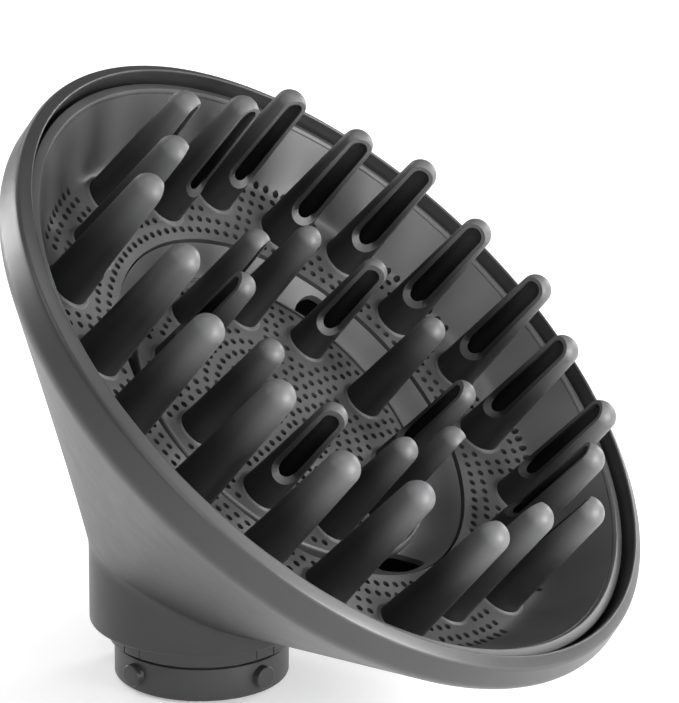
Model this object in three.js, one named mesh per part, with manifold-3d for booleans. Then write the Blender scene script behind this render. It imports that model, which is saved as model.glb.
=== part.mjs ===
// Bowl diffuser for a slim hair dryer: a tilted round bowl of hollow prongs on a short neck
// with a four-pin plug-in spigot.
// Millimetres, +Z up along the neck. The origin is the middle of the spigot's lower end face,
// and +X is the way the bowl leans.
import * as THREE from 'three';
import { mergeVertices } from 'three/addons/utils/BufferGeometryUtils.js';
import Module from 'manifold-3d';

const wasm = await Module();
wasm.setup();

const DEG = Math.PI / 180;
const GAP = 0.3;                      // clearance between touching pieces

// ---- connector ----
const SPIGOT_R = 16.0;                // outside of the plug-in tube
const SPIGOT_BORE_R = 13.6;
const SPIGOT_TOP = 15.0;
const SPIGOT_EDGE = 0.4;              // broken lower edge
const SPIGOT_FLANGE_R = 18.2;         // flange that rests on the neck's inner ledge
const SPIGOT_FLANGE_Z = 12.2;
const SPIGOT_FLANGE_T = 1.5;
const PIN_R = 2.1;                    // four bayonet pins
const PIN_Z = 3.3;
const PIN_REACH = 17.4;
const PIN_FIRST_ANGLE = 72.4;         // degrees, the others follow every quarter turn
const PIN_COUNT = 4;
const COLLAR_R = 17.0;                // narrow ring above the pins
const COLLAR_BORE_R = 16.3;
const COLLAR_Z = 7.0;
const COLLAR_TOP = 10.6;
const COLLAR_EDGE = 0.25;
const WINDOW_ANGLE = 14.5;            // degrees, one window above each pin
const PAD_ANGLE = 12.5;               // the snap pad inside the window
const WINDOW_EDGE = 0.55;             // ring left above and below a window
const SEAL_GROOVE_R = 14.6;
const SEAL_GROOVE_Z = 3.0;
const SEAL_GROOVE_H = 2.4;
const SPIGOT_SEAL_INNER_R = 12.9;

// ---- neck and funnel ----
const NECK_R = 20.5;
const NECK_BORE_R = 18.6;
const NECK_Z = 10.4;
const NECK_EDGE = 0.6;                // broken lower edge
const LEDGE_BORE_R = 16.4;            // inner ledge that carries the spigot's flange
const LEDGE_Z = 10.9;
const LEDGE_TOP = 11.9;
const SHOULDER_R = 17.4;              // inside of the flat lower end ring
const CREASE_MID = 21.2;              // the funnel leaves the neck along an oblique crease
const CREASE_SLOPE = -0.36;
const CREASE_BOW = -0.006;
const INNER_CREASE_RISE = 1.0;
const RIM_OUTLINE = [                 // radius, height and shift towards the lean, in the bowl's frame
  [66.6, -4.9, 0.6], [66.9, -4.0, 0.5], [66.3, 1.2, 0], [65.7, 2.2, 0],
  [64.9, 2.0, 0], [64.5, 1.3, 0], [64.4, -5.6, 0],
];

// ---- bowl: heights are measured along its own axis from the plane of its lip ----
const TILT = 41.5 * DEG;
const LIP_X = 28.0;
const LIP_Z = 64.0;
const PATTERN_ANGLE = 6.5;            // degrees, the first prong from the lean direction
const PLATE_UNDER = -14.2;
const BOWL_OUTLINE = [
  [37.5, -13.1], [37.5, PLATE_UNDER], [53.2, PLATE_UNDER], [57.3, -10.2], [57.3, -8.4],
  [61.0, -8.4], [62.2, -7.0], [59.3, -7.0], [63.2, -0.4], [62.9, 0], [61.8, 0],
  [57.4, -6.2], [54.2, -9.3], [50.0, -11.4],
];
const BOWL_SEAL_OUTLINE = [[60.2, -8.7], [57.7, -8.7], [57.7, -10.3], [58.9, -10.3]];

// ---- middle of the bowl ----
const CHANNEL_OUTLINE = [
  [37.2, -13.6], [36.6, -15.6], [34.2, -17.3], [31.9, -17.9], [31.9, -18.5], [29.2, -18.5], [29.2, -19.8],
  [31.3, -19.8], [35.8, -18.0], [37.2, -15.8], [39.2, -15.8], [39.2, -14.5], [37.2, -14.5],
];
const CHANNEL_WINDOW_ANGLES = [113, 233, 353];
const CHANNEL_WINDOW_HALF = 7.5;      // degrees
const CHANNEL_WINDOW_R = [32.9, 36.1];
const CENTRE_TOP = -16.9;
const CENTRE_UNDER = -18.2;
const CENTRE_R = 31.5;
const CENTRE_EDGE_ROUND = 0.9;

// ---- prongs ----
const OUTER_COUNT = 20;               // on two circles in turn
const OUTER_CIRCLE = [48.9, 45.2];
const OUTER_PRONG = {
  base: 4.1, tip: 3.0, top: 15.3, plate: -12, bottom: -15.4, flangeR: 4.8, flangeT: 0.9, wall: 1.1,
};
const INNER_COUNT = 10;
const INNER_CIRCLE = 24.0;
const INNER_PRONG = {
  base: 3.7, tip: 2.7, top: 6.0, plate: CENTRE_TOP, bottom: -19.8, flangeR: 4.5, flangeT: 1.3, wall: 1.0,
};
const ROOF = 1.8;                     // wall at the closed end of a prong
const TIP_SHOULDER = 0.9;             // the rounded end, as parts of the tip radius
const TIP_FLAT = 0.66;
const TIP_FALL = 0.25;
const SLOT_WIDTH = 3.4;
const SLOT_BELOW_TOP = 1.9;
const SLOT_LENGTH = 0.66;             // part of the height above the plate

// ---- backing plates and their screws ----
const OUTER_RETAINER = { inner: 39.6, outer: 52.2, top: -15.7, under: -16.8, airR: 3.0 };
const INNER_RETAINER = { inner: 9.0, outer: 31.0, top: -20.1, under: -21.5, airR: 2.7 };
const OUTER_BOSS = { circle: 43.0, first: PATTERN_ANGLE + 9, count: 5, r: 2.1, under: -17.3 };
const INNER_BOSS = { circle: 14.0, first: PATTERN_ANGLE + 18, count: 5, r: 2.1, under: -22.0 };
const SCREW = {
  shankR: 0.8, headR: 3.1, headT: 1.2, headEdge: 0.2, length: 2.9, pilotR: 1.1, pilotDepth: 3.3,
};
const OVERLAP = 0.5;                  // how far joined solids run into each other
const THROUGH = { from: -25, to: 0 }; // heights that clear every plate of the bowl

// ---- facets ----
const SPIGOT_SIDES = 40;
const PIN_SIDES = 16;
const COLLAR_SIDES = 48;
const SHELL_SIDES = 56;
const BOWL_SIDES = 48;
const PRONG_SIDES = 8;
const SPIGOT_SEAL_SIDES = 32;
const BOWL_SEAL_SIDES = 40;
const OUTER_RETAINER_SIDES = 40;
const INNER_RETAINER_SIDES = 30;
const ROUND_SIDES = 10;               // prong holes, bosses and screws
const AIR_HOLE_SIDES = 8;
const PILOT_SIDES = 6;
const ARC_STEPS = 4;
const SLOT_STEPS = 2;

// ---- finishes ----
const finish = (color, roughness) => new THREE.MeshStandardMaterial({ color, roughness, metalness: 0 });
const shellGrey = () => finish(0x6c6c6e, 0.42);
const plateGrey = () => finish(0x666668, 0.5);
const prongDark = () => finish(0x2c2c2e, 0.38);
const rubber = () => finish(0x1a1a1b, 0.8);
const hiddenPlastic = () => finish(0x3a3a3c, 0.6);
const steel = () => new THREE.MeshStandardMaterial({ color: 0xb8bcc0, roughness: 0.3, metalness: 1 });

// ---- solid helpers ----
function toSolid(geometry) {
  const bare = geometry.clone();
  bare.deleteAttribute('normal');
  bare.deleteAttribute('uv');
  const merged = mergeVertices(bare, 1e-4);
  return new wasm.Manifold(new wasm.Mesh({
    numProp: 3,
    vertProperties: new Float32Array(merged.attributes.position.array),
    triVerts: new Uint32Array(merged.index.array),
  }));
}

function toGeometry(solid) {
  const mesh = solid.getMesh();
  const geometry = new THREE.BufferGeometry();
  geometry.setAttribute('position', new THREE.BufferAttribute(new Float32Array(mesh.vertProperties), 3));
  geometry.setIndex(new THREE.BufferAttribute(new Uint32Array(mesh.triVerts), 1));
  geometry.computeVertexNormals();
  return geometry;
}

// A turned solid about Z from [radius, height] points; a ring's outline closes on itself.
function turned(points, sides, closed = true) {
  const outline = points.map(([r, z]) => new THREE.Vector2(r, z));
  if (closed) outline.push(outline[0].clone());
  return new THREE.LatheGeometry(outline, sides).rotateX(Math.PI / 2);
}

function rod(radius, z0, z1, sides) {
  const cylinder = new THREE.CylinderGeometry(radius, radius, z1 - z0, sides);
  return cylinder.rotateX(Math.PI / 2).translate(0, 0, (z0 + z1) / 2);
}

function at(geometry, radius, degrees) {
  return geometry.translate(radius * Math.cos(degrees * DEG), radius * Math.sin(degrees * DEG), 0);
}

// A block that follows an arc between two radii, with flat ends.
function arcBlock(r0, r1, z0, z1, middle, half) {
  const shape = new THREE.Shape();
  const a0 = (middle - half) * DEG;
  const a1 = (middle + half) * DEG;
  shape.absarc(0, 0, r1, a0, a1, false);
  shape.absarc(0, 0, r0, a1, a0, true);
  shape.closePath();
  const settings = { depth: z1 - z0, bevelEnabled: false, curveSegments: ARC_STEPS };
  return new THREE.ExtrudeGeometry(shape, settings).translate(0, 0, z0);
}

const object = new THREE.Group();
const bowlFrame = new THREE.Group();
bowlFrame.position.set(LIP_X, 0, LIP_Z);
bowlFrame.rotation.y = TILT;
object.add(bowlFrame);

function place(parent, name, geometry, material) {
  const mesh = new THREE.Mesh(geometry, material);
  mesh.name = name;
  parent.add(mesh);
  return mesh;
}

// ---- connector: spigot, collar ring and mouth seal ----
const pinAngles = Array.from({ length: PIN_COUNT }, (_, k) => PIN_FIRST_ANGLE + (k * 360) / PIN_COUNT);

function spigot() {
  let solid = toSolid(turned([
    [SPIGOT_BORE_R, 0], [SPIGOT_R - SPIGOT_EDGE, 0], [SPIGOT_R, SPIGOT_EDGE], [SPIGOT_R, SPIGOT_FLANGE_Z],
    [SPIGOT_FLANGE_R, SPIGOT_FLANGE_Z], [SPIGOT_FLANGE_R, SPIGOT_FLANGE_Z + SPIGOT_FLANGE_T],
    [SPIGOT_R, SPIGOT_FLANGE_Z + SPIGOT_FLANGE_T], [SPIGOT_R, SPIGOT_TOP], [SPIGOT_BORE_R, SPIGOT_TOP],
    [SPIGOT_BORE_R, SEAL_GROOVE_Z + SEAL_GROOVE_H], [SEAL_GROOVE_R, SEAL_GROOVE_Z + SEAL_GROOVE_H],
    [SEAL_GROOVE_R, SEAL_GROOVE_Z], [SPIGOT_BORE_R, SEAL_GROOVE_Z],
  ], SPIGOT_SIDES));
  for (const angle of pinAngles) {
    const pin = rod(PIN_R, SPIGOT_R - OVERLAP, PIN_REACH, PIN_SIDES).rotateY(Math.PI / 2);
    pin.rotateZ(angle * DEG).translate(0, 0, PIN_Z);
    const padFrom = COLLAR_Z + WINDOW_EDGE + GAP;
    const padTo = COLLAR_TOP - WINDOW_EDGE - GAP;
    const pad = arcBlock(SPIGOT_R - OVERLAP, COLLAR_R, padFrom, padTo, angle, PAD_ANGLE / 2);
    solid = solid.add(toSolid(pin)).add(toSolid(pad));
  }
  return toGeometry(solid);
}

function collarRing() {
  let solid = toSolid(turned([
    [COLLAR_BORE_R, COLLAR_Z], [COLLAR_R - COLLAR_EDGE, COLLAR_Z], [COLLAR_R, COLLAR_Z + COLLAR_EDGE],
    [COLLAR_R, COLLAR_TOP], [COLLAR_BORE_R, COLLAR_TOP],
  ], COLLAR_SIDES));
  const from = COLLAR_Z + WINDOW_EDGE;
  const to = COLLAR_TOP - WINDOW_EDGE;
  const [r0, r1] = [COLLAR_BORE_R - OVERLAP, COLLAR_R + OVERLAP];
  for (const angle of pinAngles) {
    const opening = arcBlock(r0, r1, from, to, angle, WINDOW_ANGLE / 2);
    solid = solid.subtract(toSolid(opening));
  }
  return toGeometry(solid);
}

function spigotSeal() {
  const z0 = SEAL_GROOVE_Z + GAP;
  const z1 = SEAL_GROOVE_Z + SEAL_GROOVE_H - GAP;
  const outer = SEAL_GROOVE_R - GAP;
  const middle = (z0 + z1) / 2;
  return turned([[outer, z0], [outer, z1], [SPIGOT_SEAL_INNER_R, middle]], SPIGOT_SEAL_SIDES);
}

place(object, 'connector_spigot', spigot(), shellGrey());
place(object, 'collar_ring', collarRing(), shellGrey());
place(object, 'spigot_seal', spigotSeal(), rubber());

// ---- outer shell: the neck, the funnel and the upright rim are one moulding ----
// Its outline is a closed chain of rows. A neck row is a ring about the neck's axis whose height may
// follow the crease, and a rim row is a ring about the bowl's axis.
const creaseHeight = (x) => CREASE_MID + CREASE_SLOPE * x + CREASE_BOW * x * x;

const neckRow = (radius, height) => (angle) => {
  const x = radius * Math.cos(angle);
  const z = typeof height === 'function' ? height(x) : height;
  return new THREE.Vector3(x, radius * Math.sin(angle), z);
};

const rimRow = (radius, height, shift) => (angle) => {
  const point = new THREE.Vector3(radius * Math.cos(angle) + shift, radius * Math.sin(angle), height);
  return point.applyAxisAngle(new THREE.Vector3(0, 1, 0), TILT).add(bowlFrame.position);
};

const SHELL_ROWS = [
  neckRow(LEDGE_BORE_R, LEDGE_Z),
  neckRow(SHOULDER_R, LEDGE_Z),
  neckRow(SHOULDER_R, NECK_Z),
  neckRow(NECK_R - NECK_EDGE, NECK_Z),
  neckRow(NECK_R, NECK_Z + NECK_EDGE),
  neckRow(NECK_R, creaseHeight),
  ...RIM_OUTLINE.map(([radius, height, shift]) => rimRow(radius, height, shift)),
  neckRow(NECK_BORE_R, (x) => creaseHeight(x) + INNER_CREASE_RISE),
  neckRow(NECK_BORE_R, LEDGE_TOP),
  neckRow(LEDGE_BORE_R, LEDGE_TOP),
];

function outerShell() {
  // A lathe with one unit step per row carries the topology; each vertex then moves to its row's ring.
  const outline = SHELL_ROWS.map((_, k) => {
    const turn = (k / SHELL_ROWS.length) * 2 * Math.PI;
    return new THREE.Vector2(2 + Math.cos(turn), Math.sin(turn));
  });
  outline.push(outline[0].clone());
  const geometry = new THREE.LatheGeometry(outline, SHELL_SIDES);
  const position = geometry.attributes.position;
  const perTurn = outline.length;
  for (let i = 0; i < position.count; i += 1) {
    const column = Math.floor(i / perTurn) % SHELL_SIDES;
    const row = (i % perTurn) % SHELL_ROWS.length;
    const point = SHELL_ROWS[row]((column / SHELL_SIDES) * 2 * Math.PI);
    position.setXYZ(i, point.x, point.y, point.z);
  }
  return geometry;
}

place(object, 'outer_shell', outerShell(), shellGrey());

// ---- prongs: hollow, tapered, round-ended, with a flange below the plate and one long slot ----
function prong(spec, slotFaces) {
  const innerTop = spec.top - ROOF;
  const shoulder = spec.top - spec.tip * TIP_SHOULDER;
  const profile = [
    [0, innerTop], [spec.tip - spec.wall, shoulder - spec.wall], [spec.base - spec.wall, spec.bottom],
    [spec.flangeR, spec.bottom], [spec.flangeR, spec.bottom + spec.flangeT],
    [spec.base, spec.bottom + spec.flangeT], [spec.tip, shoulder],
    [spec.tip * TIP_FLAT, spec.top - spec.tip * TIP_FALL], [0, spec.top],
  ];
  const body = toSolid(turned(profile, PRONG_SIDES, false));
  const slotTop = spec.top - SLOT_BELOW_TOP - SLOT_WIDTH / 2;
  const slotBottom = spec.top - SLOT_LENGTH * (spec.top - spec.plate);
  const shape = new THREE.Shape();
  shape.absarc(slotTop, 0, SLOT_WIDTH / 2, -Math.PI / 2, Math.PI / 2, false);
  shape.absarc(slotBottom, 0, SLOT_WIDTH / 2, Math.PI / 2, (3 * Math.PI) / 2, false);
  shape.closePath();
  const settings = { depth: spec.flangeR, bevelEnabled: false, curveSegments: SLOT_STEPS };
  const cutter = new THREE.ExtrudeGeometry(shape, settings);
  cutter.rotateY(-Math.PI / 2).rotateZ(slotFaces + Math.PI);
  return toGeometry(body.subtract(toSolid(cutter)));
}

// A slot faces the bowl's axis unless it is turned outward.
function addProng(group, number, spec, { circle, degrees }, outward) {
  const name = `${group}_prong_${String(number).padStart(2, '0')}`;
  const angle = degrees * DEG;
  const geometry = prong(spec, outward ? angle : angle + Math.PI);
  const mesh = place(bowlFrame, name, geometry, prongDark());
  mesh.position.set(circle * Math.cos(angle), circle * Math.sin(angle), 0);
}

const outerProngs = Array.from({ length: OUTER_COUNT }, (_, k) => ({
  circle: OUTER_CIRCLE[k % 2],
  degrees: PATTERN_ANGLE + (k * 360) / OUTER_COUNT,
}));
const innerProngs = Array.from({ length: INNER_COUNT }, (_, k) => ({
  circle: INNER_CIRCLE,
  degrees: PATTERN_ANGLE + (k * 360) / INNER_COUNT,
}));

outerProngs.forEach((spot, k) => addProng('outer', k + 1, OUTER_PRONG, spot, false));
innerProngs.forEach((spot, k) => addProng('inner', k + 1, INNER_PRONG, spot, k % 2 === 0));

// ---- plates ----
const ringOf = ({ count, circle, first }) => Array.from({ length: count }, (_, k) => ({
  circle,
  degrees: first + (k * 360) / count,
}));

function drill(solid, spots, radius, z0, z1, sides) {
  return spots.reduce((rest, { circle, degrees }) => (
    rest.subtract(toSolid(at(rod(radius, z0, z1, sides), circle, degrees)))), solid);
}

function boss(solid, spec, from) {
  return ringOf(spec).reduce((rest, { circle, degrees }) => (
    rest.add(toSolid(at(rod(spec.r, spec.under, from, ROUND_SIDES), circle, degrees)))), solid);
}

// The flats of a faceted hole stay clear of a round piece of this radius.
const holeFor = (radius) => (radius + GAP) / Math.cos(Math.PI / ROUND_SIDES);

// Adds the screw bosses below a plate, then drills the prong holes and the screw pilots.
function mountingPlate(plate, under, spots, spec, bosses) {
  const { from, to } = THROUGH;
  const withBosses = boss(plate, bosses, under + OVERLAP);
  const drilled = drill(withBosses, spots, holeFor(spec.base), from, to, ROUND_SIDES);
  const pilotTop = bosses.under + SCREW.pilotDepth;
  return toGeometry(drill(drilled, ringOf(bosses), SCREW.pilotR, from, pilotTop, PILOT_SIDES));
}

function bowl() {
  const dish = toSolid(turned(BOWL_OUTLINE, BOWL_SIDES));
  return mountingPlate(dish, PLATE_UNDER, outerProngs, OUTER_PRONG, OUTER_BOSS);
}

function channelRing() {
  const [r0, r1] = CHANNEL_WINDOW_R;
  const { from, to } = THROUGH;
  let solid = toSolid(turned(CHANNEL_OUTLINE, BOWL_SIDES));
  for (const angle of CHANNEL_WINDOW_ANGLES) {
    solid = solid.subtract(toSolid(arcBlock(r0, r1, from, to, angle, CHANNEL_WINDOW_HALF)));
  }
  return toGeometry(solid);
}

function centrePlate() {
  const edge = CENTRE_EDGE_ROUND;
  const disc = toSolid(turned([
    [0, CENTRE_UNDER], [CENTRE_R, CENTRE_UNDER], [CENTRE_R, CENTRE_TOP - 0.8 * edge],
    [CENTRE_R - 0.3 * edge, CENTRE_TOP - 0.3 * edge], [CENTRE_R - edge, CENTRE_TOP], [0, CENTRE_TOP],
  ], BOWL_SIDES, false));
  return mountingPlate(disc, CENTRE_UNDER, innerProngs, INNER_PRONG, INNER_BOSS);
}

function retainer({ inner, outer, top, under, airR }, prongs, bosses, sides) {
  const { from, to } = THROUGH;
  const plate = toSolid(turned([[inner, top], [inner, under], [outer, under], [outer, top]], sides));
  const aired = drill(plate, prongs, airR, from, to, AIR_HOLE_SIDES);
  return toGeometry(drill(aired, ringOf(bosses), holeFor(bosses.r), from, to, ROUND_SIDES));
}

const outerRetainer = retainer(OUTER_RETAINER, outerProngs, OUTER_BOSS, OUTER_RETAINER_SIDES);
const innerRetainer = retainer(INNER_RETAINER, innerProngs, INNER_BOSS, INNER_RETAINER_SIDES);
place(bowlFrame, 'bowl', bowl(), plateGrey());
place(bowlFrame, 'channel_ring', channelRing(), plateGrey());
place(bowlFrame, 'centre_plate', centrePlate(), plateGrey());
place(bowlFrame, 'outer_prong_retainer', outerRetainer, hiddenPlastic());
place(bowlFrame, 'inner_prong_retainer', innerRetainer, hiddenPlastic());
place(bowlFrame, 'bowl_seal', turned(BOWL_SEAL_OUTLINE, BOWL_SEAL_SIDES), rubber());

// ---- screws, one in each boss, head against the backing plate ----
function screw(spec) {
  const { shankR, headR, headT, headEdge, length } = SCREW;
  const seat = spec.under - GAP;
  return turned([
    [0, seat - headT], [headR, seat - headT], [headR, seat - headEdge], [headR - headEdge, seat],
    [shankR, seat], [shankR, seat + length], [0, seat + length],
  ], ROUND_SIDES, false);
}

function addScrews(group, spec) {
  ringOf(spec).forEach(({ circle, degrees }, k) => {
    place(bowlFrame, `${group}_screw_${k + 1}`, at(screw(spec), circle, degrees), steel());
  });
}

addScrews('outer_retainer', OUTER_BOSS);
addScrews('inner_retainer', INNER_BOSS);

export default object;
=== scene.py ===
"""Bowl diffuser for a slim hair dryer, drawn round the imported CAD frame.

Lengths below are in millimetres along the part's own frame, and MM turns them into metres.
The bowl has a frame of its own: r is the distance from its axis, phi the angle from the lean
direction, and h the height along the axis from the plane of the bowl's lip.
"""
import math

import bmesh
import bpy
from mathutils import Matrix, Vector
from mathutils.geometry import delaunay_2d_cdt
from mathutils.kdtree import KDTree


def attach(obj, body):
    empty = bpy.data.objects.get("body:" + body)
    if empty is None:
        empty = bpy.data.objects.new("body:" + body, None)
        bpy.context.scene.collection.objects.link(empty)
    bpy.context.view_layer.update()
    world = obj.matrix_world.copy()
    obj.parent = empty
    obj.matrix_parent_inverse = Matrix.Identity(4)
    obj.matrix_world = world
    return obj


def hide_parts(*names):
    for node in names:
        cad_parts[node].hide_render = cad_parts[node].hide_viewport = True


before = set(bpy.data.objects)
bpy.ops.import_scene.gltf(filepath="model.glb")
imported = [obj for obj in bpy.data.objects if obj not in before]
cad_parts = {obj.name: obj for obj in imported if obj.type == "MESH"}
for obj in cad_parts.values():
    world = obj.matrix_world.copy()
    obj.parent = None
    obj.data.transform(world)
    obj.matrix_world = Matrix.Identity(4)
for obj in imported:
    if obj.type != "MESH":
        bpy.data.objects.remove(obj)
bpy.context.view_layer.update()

MM = 0.001
BODY = "root"
TURN = 2 * math.pi

# ---- bowl frame ----
TILT = math.radians(41.5)
LIP_CENTRE = Vector((28.0, 0.0, 64.0)) * MM
BOWL = Matrix.Translation(LIP_CENTRE) @ Matrix.Rotation(TILT, 4, "Y")
PATTERN_ANGLE = math.radians(6.5)      # the first prong from the lean direction

# ---- neck, funnel and rim ----
NECK_R = 20.5
NECK_BORE_R = 18.6
NECK_Z = 10.4
NECK_EDGE = 0.6
SHOULDER_R = 17.4
LEDGE_BORE_R = 16.4
LEDGE_Z = 10.9
LEDGE_TOP = 11.9
CREASE = (21.2, -0.36, -0.006)         # height of the crease on the neck, in powers of x
CREASE_ROUND = 1.5                     # reach of the round over the crease, each way
INNER_CREASE_RISE = 1.0
FUNNEL_END = 0.965                     # share of the funnel's slope below its turn into the rim
BAND_RISE = 2.1                        # the rim's side is this much shorter on the lean side
BAND_R, BAND_H, BAND_SHIFT = 66.9, -5.6, 0.55      # the funnel's end, shifted to the lean side
SIDE_R, SIDE_H, SIDE_SHIFT = 66.95, -4.4, 0.5      # the lower end of the rim's side
SIDE_TOP_H = 0.6
SIDE_TAPER = 0.15
RIM_OUTER_ROUND = ((65.85, 0.6), 0.95, 0, 62)      # centre, radius, start and end in degrees
RIM_INNER_ROUND = ((64.75, 1.87), 0.35, 62, 180)
RIM_BORE_R = 64.4
RIM_BORE_H = -1.0
SHELL_SIDES = 240
INSIDE_ROWS = 15                       # the last rows of the outline run down the inside, which carries painted shade

# ---- plates ----
FLOOR_EDGE_R = 37.5                    # inside of the perforated ring
FLOOR_EDGE_H = -13.1
FLOOR_SLOPE = 0.127
WALL_SLOPE = 1.46
LIP_INNER_R = 61.8
FLOOR_BLEND = 1.1                      # size of the round between floor and wall
PLATE_THICKNESS = 1.6
CENTRE_R = 31.5
CENTRE_H = -16.9
CENTRE_THICKNESS = 1.3
BEAD_WIDTH = 0.5                       # of the low bead round each prong
BEAD_HEIGHT = 0.28
BOWL_SIDES = 240
CENTRE_SIDES = 160
WELD = 1e-6                            # distance at which two flat points are one
ON_RIM = 1e-3                          # and at which a point lies on the outer edge

# ---- air holes ----
HOLE_R = 0.66
HOLE_SIDES = 12
HOLE_PITCH = 2.3                       # along a row
SECTOR = math.radians(36)              # the ring's pattern repeats ten times
SECTOR_COUNT = 10
FLOOR_ROWS = 7
FULL_ROWS = 5                          # the rows beyond these are broken up by the outer prongs
OUTER_ROWS_FROM = math.radians(8.5)    # they stop this far from an even prong
FIRST_ROW_R = 39.6
FIRST_ROW_COUNT = 11                   # holes in a sector of the first row
ROW_STEP = 2.48                        # between rows
LAST_ROW_R = 54.1                      # the outermost row is a little closer, to stay off the wall
FLOOR_CLEAR = (6.0, 5.5)               # from the middle of an even and of an odd outer prong
CENTRE_ROWS = 12
CENTRE_ROW_STEP = 2.4
CENTRE_CLEAR = 5.2                     # from the middle of an inner prong

# ---- channel ring ----
CHANNEL_R = (29.4, 37.2)
CHANNEL_H = -13.75                     # at the outer edge
CHANNEL_DROP = 4.35
CHANNEL_LEVEL_R = 31.3                 # the ring is level inside this
CHANNEL_POWER = 1.15
CHANNEL_THICKNESS = 1.2
CHANNEL_RINGS = 14
WINDOW_R = (31.2, 36.3)
WINDOW_HALF = math.radians(4.2)        # half the angle between the centres of a window's ends
WINDOW_ANGLES = (113, 233, 353)

# ---- prongs ----
OUTER_CIRCLE = (48.9, 45.2)            # the even and the odd prongs' circles
OUTER_COUNT = 20
OUTER_STEP = math.radians(18)
OUTER_FOOT_H = -11.9
OUTER_HOLE_R = 4.15
INNER_CIRCLE = 24.0
INNER_COUNT = 10
INNER_STEP = math.radians(36)
INNER_HOLE_R = 3.75
PRONG_SIDES = 48
HOLLOW_SIDES = 32
FOOT_STRAIGHT = 0.6                    # height of the straight part above the plate
TIP_FLATTEN = 0.92                     # height of the domed end over its radius
TAPER_POWER = 0.9                      # under 1 makes the side a little concave
HOLLOW_TIP_EXTRA = 0.15
SLOT_TAPER = 0.92                      # width of a slot at its top over that at its low end
DISH_REACH = 3.6                       # how far the dish spreads round the low end of a slot
CLIMB = 1.04                           # slope of the dish at the very bottom of a slot
DISH_STEPS = 32
CUTTER_X = 8.0                         # the cutters end outside the prong
SLOT_CUTTER_X = 6.0
CUTTER_ABOVE = 3.0

# ---- connector ----
TUBE_SIDES = 160
SPIGOT_R = 16.0
SPIGOT_BORE_R = 13.6
GROOVE_R = 15.45                       # a groove under the snap pads, near-black painted shade inside it for a thin dark line
GROOVE_EDGE = 6.15
GROOVE_LOW = 6.3
GROOVE_HIGH = 7.05
FLANGE_R = 18.2
PIN_ANGLES = [math.radians(72.4 + 90 * k) for k in range(4)]
PIN_R = 2.1
PIN_ROUND = 0.35
PIN_LENGTH = 2.4
PIN_Z = 3.3
PIN_SIDES = 32
PIN_FROM_R = 15.0                      # the pins start inside the tube's wall
PAD = (15.5, 17.0, 7.15, 9.75)         # inner and outer radius, lower and upper height
PAD_HALF = math.radians(6.7)
OPENING = (15.3, 18.0, 6.9, 10.05)     # cut from the collar ring down through its lower edge
OPENING_HALF = math.radians(7.25)
COLLAR_BORE_R = 16.3
COLLAR_R = 17.05
COLLAR_LOW, COLLAR_TOP = 7.0, 10.6


def camera():
    """A long lens from the front left, a little above, rolled by under a degree."""
    azimuth, elevation, roll = (math.radians(a) for a in (27.37, 15.92, 0.79))
    target = Vector((14.4, 25.54, 56.32)) * MM
    distance = 503.36 * MM
    back = Vector((
        math.sin(azimuth) * math.cos(elevation),
        -math.cos(azimuth) * math.cos(elevation),
        math.sin(elevation),
    ))
    right = Vector((math.cos(azimuth), math.sin(azimuth), 0.0))
    up = back.cross(right)
    rolled_right = math.cos(roll) * right + math.sin(roll) * up
    rolled_up = back.cross(rolled_right)
    data = bpy.data.cameras.new("camera")
    data.lens = 140.0
    data.sensor_width = 36.0
    data.clip_start = 0.01
    data.clip_end = 20.0
    obj = bpy.data.objects.new("camera", data)
    rotation = Matrix((rolled_right, rolled_up, back)).transposed().to_4x4()
    obj.matrix_world = Matrix.Translation(target + back * distance) @ rotation
    bpy.context.scene.collection.objects.link(obj)
    bpy.context.scene.camera = obj


# ---- materials ----

def mix_painted_tip_light(nodes, links, place, shade, painted_tip_light):
    """Mixes painted shade low on a prong into a painted highlight at the tip, by height along the
    bowl's axis.
    """
    low, high, lit_tip_colour = painted_tip_light
    axis = BOWL.to_3x3() @ Vector((0.0, 0.0, 1.0))
    along = nodes.new("ShaderNodeVectorMath")
    along.operation = "DOT_PRODUCT"
    along.inputs[1].default_value = axis
    links.new(place.outputs["Object"], along.inputs[0])
    height = nodes.new("ShaderNodeMapRange")
    height.interpolation_type = "SMOOTHERSTEP"
    height.inputs["From Min"].default_value = LIP_CENTRE.dot(axis) + low * MM
    height.inputs["From Max"].default_value = LIP_CENTRE.dot(axis) + high * MM
    links.new(along.outputs["Value"], height.inputs["Value"])
    mix = nodes.new("ShaderNodeMix")
    mix.data_type = "RGBA"
    links.new(height.outputs["Result"], mix.inputs["Factor"])
    links.new(shade.outputs["Color"], mix.inputs["A"])
    mix.inputs["B"].default_value = lit_tip_colour + (1.0,)
    return mix.outputs["Result"]


GLOSS_SPREAD = 0.05


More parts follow.
